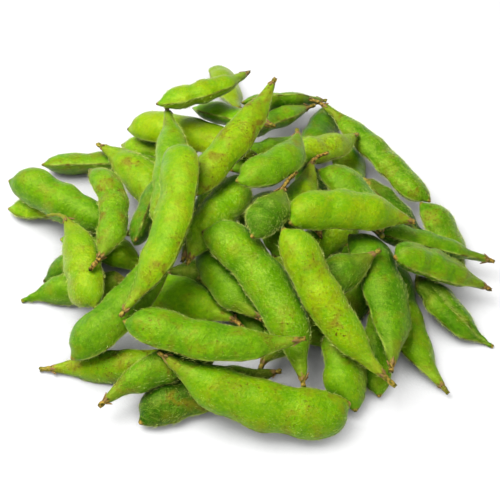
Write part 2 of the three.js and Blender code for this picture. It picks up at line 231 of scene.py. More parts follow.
def layBloom(tree, look, mark, skin):
    # a fine bloom of pale strokes, where down lies flat on the skin; way and round are mm already
    drawnOut = addNode(tree, "ShaderNodeMath", {"operation": "DIVIDE", 1: look["bloomLength"]}, {
        0: mark["way"],
    })
    strokePlace = addNode(tree, "ShaderNodeCombineXYZ", links={
        "X": drawnOut.outputs[0], "Y": mark["round"], "Z": mark["toneAndPaintedLight"],
    })
    strokes = addNode(tree, "ShaderNodeTexNoise", {
        "Scale": 1 / look["bloomSize"], "Detail": 3.0, "Roughness": 0.6, "Distortion": 1.6,
    }, {"Vector": strokePlace.outputs["Vector"]})
    bloom = addNode(tree, "ShaderNodeMapRange", {
        "From Min": look["bloomRange"][0], "From Max": look["bloomRange"][1],
        "To Max": look["bloomAmount"],
    }, {"Value": strokes.outputs["Fac"]})
    bloom = addNode(tree, "ShaderNodeMath", {"operation": "MULTIPLY"}, {
        0: bloom.outputs["Result"], 1: mark["downy"],
    })
    return addNode(tree, "ShaderNodeMix", {"data_type": "RGBA", 7: linearColor(look["bloom"])}, {
        0: bloom.outputs[0], 6: skin,
    }).outputs[2]


def rubSkin(tree, look, place, mark, skin):
    # rubbed places: rusty smudges with brown freckles in them
    worn = addNode(tree, "ShaderNodeTexNoise", {
        "Scale": perMetre / look["wornSize"], "Detail": 2.0,
    }, place)
    worn = addNode(tree, "ShaderNodeMapRange", {
        "From Min": look["wornRange"][0], "From Max": look["wornRange"][1],
        "To Min": look["wornLeast"], "interpolation_type": "SMOOTHSTEP",
    }, {"Value": worn.outputs["Fac"]})
    rubbed = addNode(tree, "ShaderNodeMath", {"operation": "MULTIPLY_ADD"}, {
        0: worn.outputs["Result"], 1: mark["rub"], 2: mark["stain"],
    }).outputs[0]
    smudge = addNode(tree, "ShaderNodeTexNoise", {
        "Scale": perMetre / look["smudgeSize"], "Detail": 3.0, "Distortion": 0.8,
    }, place)
    smudge = addNode(tree, "ShaderNodeMapRange", {
        "From Min": look["smudgeRange"][0], "From Max": look["smudgeRange"][1],
        "To Max": look["smudgeAmount"],
    }, {"Value": smudge.outputs["Fac"]})
    smudge = addNode(tree, "ShaderNodeMath", {"operation": "MULTIPLY"}, {
        0: smudge.outputs["Result"], 1: rubbed,
    })
    skin = addNode(tree, "ShaderNodeMix", {"data_type": "RGBA", 7: linearColor(look["smudge"])}, {
        0: smudge.outputs[0], 6: skin,
    }).outputs[2]
    freckles = addNode(tree, "ShaderNodeTexNoise", {
        "Scale": perMetre / look["freckleSize"], "Detail": 4.0, "Roughness": 0.7,
    }, place)
    freckles = addNode(tree, "ShaderNodeMapRange", {
        "From Min": look["freckleRange"][0], "From Max": look["freckleRange"][1],
        "interpolation_type": "SMOOTHSTEP",
    }, {"Value": freckles.outputs["Fac"]})
    freckles = addNode(tree, "ShaderNodeMath", {"operation": "MULTIPLY", "use_clamp": True}, {
        0: freckles.outputs["Result"], 1: rubbed,
    })
    return addNode(tree, "ShaderNodeMix", {"data_type": "RGBA", 7: linearColor(look["freckle"])}, {
        0: freckles.outputs[0], 6: skin,
    }).outputs[2]


def drawSeams(tree, look, place, mark, skin):
    # the neck yellows towards the calyx, and the thin pale seams are brown in stretches
    neck = addNode(tree, "ShaderNodeMath", {"operation": "MULTIPLY", 1: look["neckAmount"]}, {
        0: mark["neck"],
    })
    skin = addNode(tree, "ShaderNodeMix", {"data_type": "RGBA", 7: linearColor(look["neckOlive"])}, {
        0: neck.outputs[0], 6: skin,
    }).outputs[2]
    brown = addNode(tree, "ShaderNodeTexNoise", {
        "Scale": perMetre / look["seamSize"], "Detail": 3.0,
    }, place)
    brown = addNode(tree, "ShaderNodeMapRange", {
        "From Min": look["seamRange"][0], "From Max": look["seamRange"][1],
    }, {"Value": brown.outputs["Fac"]})
    brown = addNode(tree, "ShaderNodeMath", {"operation": "ADD", "use_clamp": True}, {
        0: brown.outputs["Result"], 1: mark["stain"],
    })
    seamShade = addNode(tree, "ShaderNodeMix", {
        "data_type": "RGBA", 6: linearColor(look["seamPale"]), 7: linearColor(look["seamBrown"]),
    }, {0: brown.outputs[0]})
    seam = addNode(tree, "ShaderNodeMath", {"operation": "MULTIPLY", 1: look["seamAmount"]}, {
        0: mark["seam"],
    })
    return addNode(tree, "ShaderNodeMix", {"data_type": "RGBA"}, {
        0: seam.outputs[0], 6: skin, 7: seamShade.outputs[2],
    }).outputs[2]


def dryEnds(tree, look, place, mark, skin):
    # the stalk and the beak are dry, more or less brown
    fibre = addNode(tree, "ShaderNodeTexNoise", {
        "Scale": perMetre / look["drySize"], "Detail": 4.0,
    }, place)
    fibre = addNode(tree, "ShaderNodeMapRange", {
        "From Min": look["dryRange"][0], "From Max": look["dryRange"][1],
    }, {"Value": fibre.outputs["Fac"]})
    dryShade = addNode(tree, "ShaderNodeMix", {
        "data_type": "RGBA", 6: linearColor(look["dryDark"]), 7: linearColor(look["dryLight"]),
    }, {0: fibre.outputs["Result"]})
    dryShade = addNode(tree, "ShaderNodeMix", {
        "data_type": "RGBA", 6: linearColor(look["stalkGreen"]),
    }, {0: mark["wither"], 7: dryShade.outputs[2]})
    return addNode(tree, "ShaderNodeMix", {"data_type": "RGBA"}, {
        0: mark["dry"], 6: skin, 7: dryShade.outputs[2],
    }).outputs[2]


def paintShadeInHollows(tree, look, skin):
    # painted shade: the colour darkens towards green where pods lie close together, as if only green
    # light were left there
    paintedShade = addNode(tree, "ShaderNodeAmbientOcclusion", {
        "samples": 6, "Distance": look["paintedShadeReach"] * mm,
    })
    paintedShade = addNode(tree, "ShaderNodeMapRange", {
        "From Min": look["paintedShadeRange"][0], "From Max": look["paintedShadeRange"][1],
    }, {"Value": paintedShade.outputs["AO"]})
    paintedShade = addNode(tree, "ShaderNodeMix", {
        "data_type": "RGBA", 6: linearColor(look["paintedShade"]), 7: (1, 1, 1, 1),
    }, {0: paintedShade.outputs["Result"]})
    return addNode(tree, "ShaderNodeMix", {"data_type": "RGBA", "blend_type": "MULTIPLY", 0: 1.0}, {
        6: skin, 7: paintedShade.outputs[2],
    }).outputs[2]


def raiseRelief(tree, look, place, mark):
    # veins run slantwise round the wall from the upper seam, under a fine grain
    slant = addNode(tree, "ShaderNodeMath", {"operation": "MULTIPLY_ADD", 1: look["veinSlant"]}, {
        0: mark["round"], 2: mark["way"],
    })
    drawnOut = addNode(tree, "ShaderNodeMath", {"operation": "DIVIDE", 1: look["veinLength"]}, {
        0: mark["round"],
    })
    veinPlace = addNode(tree, "ShaderNodeCombineXYZ", links={
        "X": slant.outputs[0], "Y": drawnOut.outputs[0], "Z": mark["toneAndPaintedLight"],
    })
    veins = addNode(tree, "ShaderNodeTexNoise", {
        "Scale": 1 / look["veinSize"], "Detail": 3.0, "Distortion": 1.4,
    }, {"Vector": veinPlace.outputs["Vector"]})
    veins = addNode(tree, "ShaderNodeBump", {
        "Strength": look["veinStrength"], "Distance": look["veinDepth"] * mm,
    }, {"Height": veins.outputs["Fac"]})
    grain = addNode(tree, "ShaderNodeTexNoise", {
        "Scale": perMetre / look["grainSize"], "Detail": 5.0, "Roughness": 0.7,
    }, place)
    return addNode(tree, "ShaderNodeBump", {
        "Strength": look["grainStrength"], "Distance": look["grainDepth"] * mm,
    }, {"Height": grain.outputs["Fac"], "Normal": veins.outputs["Normal"]}).outputs["Normal"]


def makePodSkin(look):
    # fresh bean pod skin: a waxy green wall under short down, so a broad soft gloss and pale edges
    material, tree, shader = newMaterial("freshPodSkin")
    place = {"Vector": addNode(tree, "ShaderNodeTexCoord").outputs["Object"]}
    mark = {
        name: addNode(tree, "ShaderNodeAttribute", {"attribute_name": name}).outputs["Fac"]
        for name in skinMarks
    }
    skin = layGreens(tree, look, place, mark)
    skin = layBloom(tree, look, mark, skin)
    skin = rubSkin(tree, look, place, mark, skin)
    skin = drawSeams(tree, look, place, mark, skin)
    skin = dryEnds(tree, look, place, mark, skin)
    # painted shade in the gaps between pods
    skin = paintShadeInHollows(tree, look, skin)
    # some pods are younger and paler than others; this also paints light, brighter on pods that lie in
    # shade, and painted shade, darker on a few low ones
    skin = addNode(tree, "ShaderNodeVectorMath", {"operation": "SCALE"}, {
        0: skin, "Scale": mark["palenessAndPaintedLight"],
    })
    tree.links.new(skin.outputs["Vector"], shader.inputs["Base Color"])
    tree.links.new(raiseRelief(tree, look, place, mark), shader.inputs["Normal"])
    for socket, value in {
        "Roughness": look["roughness"],
        "Specular IOR Level": look["specular"],
        "Specular Tint": linearColor(look["waxSheen"]),
        "IOR": look["waxIor"],
        "Sheen Weight": look["downSheenAmount"],
        "Sheen Roughness": look["downSheenRoughness"],
        "Sheen Tint": linearColor(look["downSheen"]),
        "Subsurface Weight": look["fleshAmount"],
        "Subsurface Radius": look["flesh"],
        "Subsurface Scale": look["fleshDepth"] * mm,
    }.items():
        shader.inputs[socket].default_value = value
    return material


downFinish = {
    "green": "#97aa26",
    "pale": "#b9c662",
    "tuftSize": 3,
    "tuftRange": (0.35, 0.65),
    "roughness": 0.5,
}


def makeDown(finish):
    # soft hairs of a bean pod: yellow green and dull, paler in tufts, so edges look soft and catch light
    material, tree, shader = newMaterial("paleDown")
    place = {"Vector": addNode(tree, "ShaderNodeTexCoord").outputs["Object"]}
    tufts = addNode(tree, "ShaderNodeTexNoise", {
        "Scale": perMetre / finish["tuftSize"], "Detail": 3.0,
    }, place)
    tufts = addNode(tree, "ShaderNodeMapRange", {
        "From Min": finish["tuftRange"][0], "From Max": finish["tuftRange"][1],
    }, {"Value": tufts.outputs["Fac"]})
    shade = addNode(tree, "ShaderNodeMix", {
        "data_type": "RGBA", 6: linearColor(finish["green"]), 7: linearColor(finish["pale"]),
    }, {0: tufts.outputs["Result"]})
    tree.links.new(shade.outputs[2], shader.inputs["Base Color"])
    shader.inputs["Roughness"].default_value = finish["roughness"]
    return material


calyxFinish = {"brown": "#452d0c", "pale": "#9c7c3a", "grainSize": 0.8, "roughness": 0.75}


def makeDryCalyx(finish):
    # withered sepal: papery and dull, brown with paler fibres
    material, tree, shader = newMaterial("witheredCalyx")
    place = {"Vector": addNode(tree, "ShaderNodeTexCoord").outputs["Object"]}
    grain = addNode(tree, "ShaderNodeTexNoise", {
        "Scale": perMetre / finish["grainSize"], "Detail": 4.0,
    }, place)
    shade = addNode(tree, "ShaderNodeMix", {
        "data_type": "RGBA", 6: linearColor(finish["brown"]), 7: linearColor(finish["pale"]),
    }, {0: grain.outputs["Fac"]})
    tree.links.new(shade.outputs[2], shader.inputs["Base Color"])
    shader.inputs["Roughness"].default_value = finish["roughness"]
    return material


floorSettings = {
    "size": 6000,
    "below": 0.1,  # so that it doesn't touch the pods
    "color": "#8c8c8c",
    "roughness": 0.9,
    "glow": 0.56,
    "paintedShadeReach": 30,
    "paintedShadeRange": (0.25, 0.7),
}


def makeFloor(settings):
    # grey matt board that glows, painted light that keeps it white and the shadows on it light
    material, tree, shader = newMaterial("mattWhiteBoard")
    shader.inputs["Base Color"].default_value = linearColor(settings["color"])
    shader.inputs["Roughness"].default_value = settings["roughness"]
    shader.inputs["Emission Color"].default_value = (1, 1, 1, 1)
    # painted shade: the board glows less in the hollows under the heap
    openness = addNode(tree, "ShaderNodeAmbientOcclusion", {
        "samples": 6, "Distance": settings["paintedShadeReach"] * mm,
    })
    glow = addNode(tree, "ShaderNodeMapRange", {
        "From Min": settings["paintedShadeRange"][0], "From Max": settings["paintedShadeRange"][1],
        "To Max": settings["glow"],
    }, {"Value": openness.outputs["AO"]})
    tree.links.new(glow.outputs["Result"], shader.inputs["Emission Strength"])
    return material


bpy.ops.mesh.primitive_plane_add(
    size=floorSettings["size"] * mm, location=(0, 0, -floorSettings["below"] * mm),
)
floor = bpy.context.object
floor.name = "paleFloor"
floor.data.materials.append(makeFloor(floorSettings))

podSkin = makePodSkin(skinLook)
downMaterial = makeDown(downFinish)
calyxMaterial = makeDryCalyx(calyxFinish)
print("materials ready")

# a pod's solid is rings of corners: one or two on the stalk, three on the calyx, two on the body and
# two more for each bean, and three at the tip
ringPlan = {
    "corners": 10,
    "calyx": 3,
    "body": 2,
    "tip": 3,
    "calyxStart": 0.4,  # its first ring is this far before the place that ways are counted from
    "merge": 0.02,  # mm
    "flat": 0.99995,  # faces are one flat face when their normals agree this well
    "stalkEnd": 3.2,  # square mm, more than the cut end of any stalk
}


def findRings(node, plan):
    # rings of corners from the stalk's end to the beak, each as an array of places in mm
    mesh = bmesh.new()
    mesh.from_mesh(node.data)
    bmesh.ops.remove_doubles(mesh, verts=mesh.verts, dist=plan["merge"] * mm)
    seen = set()
    caps = []
    for start in mesh.faces:
        if start in seen:
            continue
        seen.add(start)
        group = [start]
        for face in group:
            for other in {f for edge in face.edges for f in edge.link_faces}:
                if other not in seen and other.normal.dot(start.normal) > plan["flat"]:
                    seen.add(other)
                    group.append(other)
        area = sum(face.calc_area() for face in group)
        if len(group) == plan["corners"] - 2 and area < plan["stalkEnd"] * mm * mm:
            caps.append((area, {corner for face in group for corner in face.verts}))
    ring = max(caps, key=lambda cap: cap[0])[1]
    found = set(ring)
    rings = []
    while ring:
        rings.append(np.array([corner.co for corner in ring]) / mm)
        ring = {edge.other_vert(corner) for corner in ring for edge in corner.link_edges} - found
        found |= ring
    mesh.free()
    return rings


def unit(rows):
    return rows / np.linalg.norm(rows, axis=-1, keepdims=True)


def seamPair(ring):
    # the two corners that lie farthest apart are on the seams
    gaps = np.linalg.norm(ring[:, None] - ring[None], axis=2)
    one, two = np.unravel_index(gaps.argmax(), gaps.shape)
    return ring[one], ring[two]


def measurePod(node, plan):
    # middle line, axes, half width and half thickness at each ring, from the stalk to the beak
    rings = findRings(node, plan)
    count = len(rings)
    stalkRings = 1  # at least
    beans = (count - stalkRings - plan["calyx"] - plan["body"] - plan["tip"]) // 2
    last = count - 1 - plan["tip"]
    first = last + 1 - plan["body"] - 2 * beans
    calyxEnd = first - 1
    middles = np.array([ring.mean(0) for ring in rings])
    across = np.zeros((count, 3))
    for i in range(first, last + 1):
        one, two = seamPair(rings[i])
        middles[i] = (one + two) / 2
        across[i] = one - two
        if i > first and across[i] @ across[first] < 0:
            across[i] = -across[i]
    across[:first] = across[first]
    across[last + 1:] = across[last]
    ahead = unit(np.gradient(middles, axis=0))
    across = unit(across - ahead * (across * ahead).sum(1, keepdims=True))
    # the beak leans towards the seam that the beans hang from
    if (middles[-1] - middles[last]) @ across[last] < (middles[last] - middles[last - 1]) @ across[last]:
        across = -across
    up = np.cross(ahead, across)
    wide = np.array([np.abs((r - m) @ a).max() for r, m, a in zip(rings, middles, across)])
    thick = np.array([np.abs((r - m) @ a).max() for r, m, a in zip(rings, middles, up)])
    ways = np.concatenate([[0], np.cumsum(np.linalg.norm(np.diff(middles, axis=0), axis=1))])
    ways -= ways[first - plan["calyx"]] + plan["calyxStart"]
    # from the calyx the neck widens in a straight line
    for sizes in (wide, thick):
        part = (ways[calyxEnd] - ways[calyxEnd - 1]) / (ways[first] - ways[calyxEnd - 1])
        sizes[calyxEnd] = sizes[calyxEnd - 1] + part * (sizes[first] - sizes[calyxEnd - 1])
    return {
        "beans": beans, "ways": ways, "middles": middles, "across": across, "up": up,
        "wide": wide, "thick": thick,
    }


def along(ways, values, at):
    # smooth curve through the values, which never overshoots single numbers
    values = np.asarray(values, float)
    single = values.ndim == 1
    values = values[:, None] if single else values
    steps = np.diff(ways)[:, None]
    slopes = np.diff(values, axis=0) / steps
    inner = np.where(
        slopes[:-1] * slopes[1:] > 0,
        2 * slopes[:-1] * slopes[1:] / (slopes[:-1] + slopes[1:] + 1e-12),
        0,
    ) if single else (slopes[:-1] * steps[1:] + slopes[1:] * steps[:-1]) / (steps[:-1] + steps[1:])
    tangents = np.concatenate([slopes[:1], inner, slopes[-1:]])
    k = np.clip(np.searchsorted(ways, at) - 1, 0, len(ways) - 2)
    step = steps[k]
    t = ((at - ways[k])[:, None]) / step
    result = (
        (2 * t ** 3 - 3 * t ** 2 + 1) * values[k]
        + (t ** 3 - 2 * t ** 2 + t) * step * tangents[k]
        + (3 * t ** 2 - 2 * t ** 3) * values[k + 1]
        + (t ** 3 - t ** 2) * step * tangents[k + 1]
    )
    return result[:, 0] if single else result


def smoothStep(x, low, high):
    t = np.clip((x - low) / (high - low), 0, 1)
    return t * t * (3 - 2 * t)


def hill(distance, width):
    # one at no distance, and about a third at the width
    return np.exp(-(distance / width) ** 2)


def anyPhase(draw):
    return draw.uniform(0, 6)  # almost a full turn


# ways are counted in mm along the pod from its calyx, or back from the beak's point where the note
# says from the end
podForm = {
    "rows": 88,
    "fineRows": 600,  # to add up how closely the rows lie
    "sides": 42,
    "seamCrowding": 0.8,  # more columns near the seams
    "calyxCrowding": 3.2,  # more rows round the calyx
    "calyxMiddle": 0.8,
    "calyxReach": 2.2,
    "beakCrowding": 2.5,  # and more at the beak
    "beakReach": 2.8,
    "bodyStart": (1.5, 6),  # the forms below set in between these
    "bodyEnd": (3.5, 1),  # and are gone again between these, from the end
    "stalkFoot": (-0.6, 0.4),  # between these the stalk turns to pod
    "usualHalf": 4.5,  # a pod's usual half thickness
    "lens": 0.2,  # how far the cheeks draw in towards the seams
    "beanStart": 2,  # the first bean's room starts here, and further by this part of the pod's length
    "beanStartPart": 0.12,
    "beanEnd": 5,  # and the last one's ends here, from the end
    "beanStray": 0.03,  # how far a bean lies off its place, of the way from bean to bean
    "domeHeight": 0.24,  # each bean's own swelling on top of the solid's
    "domeLength": 0.34,  # of the way from bean to bean
    "domeWidth": 0.62,  # of the half width
    "domeShift": 0.08,  # towards the lower seam
    "cheekSink": 0.4,  # the cheek sinks between the domes
    "cheekWidth": 0.9,
    "waist": 0.5,  # the lower edge draws in between the beans
    "upperWaist": 0.16,
    "waistLevel": 0.75,  # where an edge neither draws in nor swells
    "waves": (17, 11, 7, 4.5),  # lengths of the wall's slow waves
    "waveHeight": 0.15,
    "waveSum": 2.2,  # about what one of each length adds up to, the longest being one high
    "dimples": 5,
    "dimpleSize": (1.5, 3.5),
    "dimpleDepth": (0.05, 0.22),
    "neckFolds": 5,
    "neckFoldDepth": 0.1,
    "neckFoldPlace": 5,
    "neckFoldReach": 3,
    "neckFoldWaver": 0.6,
    "creaseDepth": 0.8,  # a long dent on the face of a few pods
    "creaseWidth": 1.1,
    "creaseFade": 0.5,  # that much farther off where the face turns away
    "seamRidge": 0.36,
    "seamWidth": 0.42,
    "seamGroove": 0.1,
    "grooveWidth": 0.4,  # of the seam's
    "lowerSeam": 0.7,  # of the upper one's height
    "seamWaver": 0.16,
    "seamWaverPace": 1.3,  # radians a mm
    "stalkRibs": 5,
    "stalkRibHeight": 0.07,
    "stalkTwist": 0.5,  # radians a mm
    "stalkKnotHeight": 0.12,
    "stalkKnotPace": 2.3,
    "tornTeeth": 3,
    "tornDepth": 0.25,  # how uneven the stalk's end is
}

# where the skin's look changes; widths and places are in mm
markForm = {
    "upperSeam": 0.42,  # the seams' own colour reaches about this far to each side
    "lowerSeam": 0.38,
    "lowerAmount": 0.8,
    "crease": 0.7,
    "creaseAmount": 0.6,
    "dryStalk": (0.6, 1.8),  # from the calyx the brown goes over to green between these
    "dryTongues": 5,  # it runs out in tongues
    "dryTongueLength": 0.35,
    "dryBeak": (1.3, 0.5),  # and back to brown between these, from the end
    "neck": (2, 13),
    "faceUp": 0.2,  # how far a face has to look up to show its stains in full
}


def spreadRows(pod, form):
    # rows of points crowd at the stalk, the calyx and the beak
    ways = np.linspace(pod["ways"][0], pod["ways"][-1], form["fineRows"])
    density = (
        1
        + form["calyxCrowding"] * hill(ways - form["calyxMiddle"], form["calyxReach"])
        + form["beakCrowding"] * hill(ways - ways[-1], form["beakReach"])
    )
    total = np.concatenate([[0], np.cumsum((density[1:] + density[:-1]) / 2)])
    return np.interp(np.linspace(0, total[-1], form["rows"]), total, ways)


def layGrid(pod, u, v, form):
    # the solid's own form at each point of a grid of u along the pod and v round it
    ways = np.interp(u, np.linspace(0, 1, form["rows"]), spreadRows(pod, form))
    turn = 2 * np.pi * v
    angle = turn - form["seamCrowding"] / 2 * np.sin(2 * turn)
    end = pod["ways"][-1]
    thick = along(pod["ways"], pod["thick"], ways)
    bodyStart, bodyEnd = form["bodyStart"], form["bodyEnd"]
    return SimpleNamespace(
        ways=ways,
        end=end,
        turn=turn,
        angle=angle,
        side=np.cos(angle),
        middle=along(pod["ways"], pod["middles"], ways),
        across=unit(along(pod["ways"], pod["across"], ways)),
        up=unit(along(pod["ways"], pod["up"], ways)),
        wide=along(pod["ways"], pod["wide"], ways),
        thick=thick,
        onPod=smoothStep(ways, *bodyStart) * (1 - smoothStep(ways, end - bodyEnd[0], end - bodyEnd[1])),
        toUpper=np.abs(np.sin(angle / 2)) * 2 * thick,  # from the upper seam, round the wall
        toLower=np.abs(np.cos(angle / 2)) * 2 * thick,
    )


def findBeans(pod, grid, form, draw):
    # one over the middle of each bean and less between them
    first = form["beanStart"] + form["beanStartPart"] * grid.end
    pitch = (grid.end - form["beanEnd"] - first) / pod["beans"]
    bean = np.zeros_like(grid.ways)
    for place in first + (np.arange(pod["beans"]) + 0.5) * pitch:
        stray = draw.normal(0, form["beanStray"] * pitch)
        bean += hill(grid.ways - place - stray, form["domeLength"] * pitch)
    return np.minimum(bean, 1)


def roughenWall(grid, form, draw):
    # slow waves, a few shallow dimples and fine folds on the neck
    rough = np.zeros_like(grid.ways)
    for size in form["waves"]:
        # two of each length, that go round the pod one to three times
        for _ in range(2):
            phase = draw.uniform(0, 2 * np.pi, 2)
            wave = 2 * np.pi * grid.ways / size + phase[0] + draw.integers(1, 4) * grid.angle + phase[1]
            rough += size / form["waves"][0] * np.sin(wave)
    rough *= form["waveHeight"] / form["waveSum"]
    for _ in range(form["dimples"]):
        where = draw.uniform(form["bodyStart"][1], grid.end - form["beanEnd"])
        around = draw.uniform(0, 2 * np.pi)
        span = draw.uniform(*form["dimpleSize"])
        sideways = form["usualHalf"] * np.sin((grid.angle - around) / 2) * 2
        away = np.hypot(grid.ways - where, sideways)
        rough -= draw.uniform(*form["dimpleDepth"]) * hill(away, span)
    waver = form["neckFoldWaver"] * np.sin(grid.ways)
    folds = form["neckFoldDepth"] * np.cos(form["neckFolds"] * grid.angle + waver)
    return rough + folds * hill(grid.ways - form["neckFoldPlace"], form["neckFoldReach"])


def raiseSeams(grid, form, draw):
    # a grooved ridge on the upper seam and a lower one opposite
    ridge = form["seamRidge"] * hill(grid.toUpper, form["seamWidth"])
    ridge -= form["seamGroove"] * hill(grid.toUpper, form["grooveWidth"] * form["seamWidth"])
    ridge += form["lowerSeam"] * form["seamRidge"] * hill(grid.toLower, form["seamWidth"])
    waver = form["seamWaver"] * np.sin(grid.ways * form["seamWaverPace"] + anyPhase(draw))
    return ridge * (1 + waver)


def ribStalk(grid, form, draw):
    # a dry, ribbed stalk with soft knots
    onStalk = 1 - smoothStep(grid.ways, *form["stalkFoot"])
    ribTurn = form["stalkRibs"] * grid.angle + form["stalkTwist"] * grid.ways
    ribs = form["stalkRibHeight"] * np.cos(ribTurn)
    knots = form["stalkKnotHeight"] * np.sin(form["stalkKnotPace"] * grid.ways + anyPhase(draw))
    return (ribs + knots) * onStalk


def markSkin(grid, bean, facing, toCrease, look, form, draw):
    # what the skin's look depends on
    seam = hill(grid.toUpper, form["upperSeam"])
    seam += form["lowerAmount"] * hill(grid.toLower, form["lowerSeam"])
    # a crease takes the seams' colour too: partly painted shade, a dark line in its groove
    seam += form["creaseAmount"] * hill(toCrease, form["crease"]) * facing
    stain = np.zeros_like(grid.ways)
    for part, out, size in look["stains"]:
        off = np.hypot(grid.ways - part * grid.end, (grid.side - out) * grid.wide) / size
        stain = np.maximum(stain, facing * np.exp(-off ** 2))
    tongues = form["dryTongueLength"] * np.cos(form["dryTongues"] * grid.angle + anyPhase(draw))
    stalkFrom, stalkTo = form["dryStalk"]
    beakFrom, beakTo = form["dryBeak"]
    dry = np.maximum(
        1 - smoothStep(grid.ways, stalkFrom + tongues, stalkTo + 2 * tongues),
        smoothStep(grid.ways, grid.end - beakFrom, grid.end - beakTo),
    )
    return {
        "way": grid.ways,
        "round": grid.turn * grid.thick,
        "seam": seam * grid.onPod,
        "dry": dry,
        "neck": 1 - smoothStep(grid.ways, *form["neck"]),
        "bean": bean * grid.onPod,
        "stain": stain,
    }


def shapePod(pod, u, v, form, look, draw):
    # places in mm of a grid's points, and their marks
    grid = layGrid(pod, u, v, form)
    side, onPod = grid.side, grid.onPod
    bean = findBeans(pod, grid, form, draw)
    dome = bean * hill(side + form["domeShift"], form["domeWidth"])
    dome -= form["cheekSink"] * hill(side, form["cheekWidth"])
    x = grid.wide * side
    z = grid.thick * np.sin(grid.angle) * (1 - form["lens"] * side ** 2 * onPod)
    height = form["domeHeight"] * look["swell"] * dome * onPod
    z += np.sin(grid.angle) * height * grid.thick / form["usualHalf"]
    waist = np.where(side < 0, -form["waist"], form["upperWaist"]) * look["swell"]
    x += waist * (bean - form["waistLevel"]) * side ** 2 * onPod
    outward = roughenWall(grid, form, draw) * onPod

    # stains and a crease lie on the face that looks up
    facing = smoothStep(np.sin(grid.angle) * grid.up[:, 2], 0, markForm["faceUp"])
    if look["crease"] == 0:
        toCrease = np.full_like(side, 99)  # there is none anywhere near
    else:
        toCrease = np.abs(side - look["crease"]) * grid.wide + form["creaseFade"] * (1 - facing)
    outward -= form["creaseDepth"] * hill(toCrease, form["creaseWidth"]) * facing * onPod
    outward += raiseSeams(grid, form, draw) * onPod
    outward += ribStalk(grid, form, draw)
    x = x + outward * side
    z = z + outward * np.sin(grid.angle)
    # the first row is the stalk's torn end
    torn = form["tornDepth"] * np.sin(form["tornTeeth"] * grid.angle + anyPhase(draw))
    torn = np.where(u < 1e-6, torn, 0)
    ahead = np.cross(grid.across, grid.up)
    points = grid.middle + grid.across * x[:, None] + grid.up * z[:, None] + ahead * torn[:, None]
    points[:, 2] = np.maximum(points[:, 2], 0)
    return points, markSkin(grid, bean, facing, toCrease, look, markForm, draw)


def paint(piece, mark, value):
    # one value for the whole piece, or one for each of its points
    values = np.full(len(piece.data.vertices), value, np.float32)
    piece.data.attributes.new(mark, "FLOAT", "POINT").data.foreach_set("value", values)


def wrapPod(name, pod, form, look, draw):
    # a grid is wrapped round the pod, joined along the upper seam and closed at both ends
    bpy.ops.mesh.primitive_grid_add(x_subdivisions=form["rows"] - 1, y_subdivisions=form["sides"], size=2)
    skin = bpy.context.object
    skin.name = name
    skin.data.name = name
    flat = np.zeros(len(skin.data.vertices) * 3)
    skin.data.vertices.foreach_get("co", flat)
    flat = flat.reshape(-1, 3)
    points, marks = shapePod(pod, (flat[:, 0] + 1) / 2, (flat[:, 1] + 1) / 2, form, look, draw)
    skin.data.vertices.foreach_set("co", (points * mm).ravel())
    for mark, values in marks.items():
        paint(skin, mark, values)
    bpy.ops.object.mode_set(mode="EDIT")
    bpy.ops.mesh.select_all(action="SELECT")
    bpy.ops.mesh.remove_doubles(threshold=1e-7)
    bpy.ops.mesh.fill_holes(sides=0)
    bpy.ops.mesh.select_all(action="SELECT")
    bpy.ops.mesh.normals_make_consistent(inside=False)
    bpy.ops.object.mode_set(mode="OBJECT")
    bpy.ops.object.shade_smooth()
    return skin


leastHeight = 0.01  # mm over the table, for hairs and calyx lobes

# drawn thicker than real hairs, and fewer, so that they show
downLook = {
    "density": 1500 / 3700,  # hairs for each point of the skin
    "length": (0.35, 1.4),
    "seamLength": 0.4,  # that much longer on the seams
    "thickness": 0.07,
    "rooted": 0.04,  # under the skin
    "bend": 0.3,  # of the length
    "lean": 50,  # degrees from upright, towards the beak
    "leanSpread": 14,
    "waySpread": 0.1,  # how unevenly the hairs' feet point to the beak, and their tips
    "tipSpread": 0.18,
    "seamCrowd": 3,  # that much closer together on the seams
    "bareFrom": 0.4,  # skin that is this dry has none
}


def modelHair():
    # a narrow blade, a unit long, with a row of corners at its middle for the bend
    bpy.ops.mesh.primitive_circle_add(vertices=3, radius=2 / 3, fill_type="NGON", location=(0, 0, 1 / 3))
    hair = bpy.context.object
    hair.rotation_euler.x = math.pi / 2
    bpy.ops.object.transform_apply(location=True, rotation=True)
    bpy.ops.object.mode_set(mode="EDIT")
    bpy.ops.mesh.select_all(action="SELECT")
    bpy.ops.mesh.bisect(plane_co=(0, 0, 0.5), plane_no=(0, 0, 1))
    bpy.ops.mesh.select_all(action="SELECT")
    bpy.ops.mesh.quads_convert_to_tris()
    bpy.ops.object.mode_set(mode="OBJECT")
    places = np.array([corner.co for corner in hair.data.vertices])
    faces = np.array([list(face.vertices) for face in hair.data.polygons])
    bpy.data.objects.remove(hair)
    return places, faces


hairPlaces, hairFaces = modelHair()


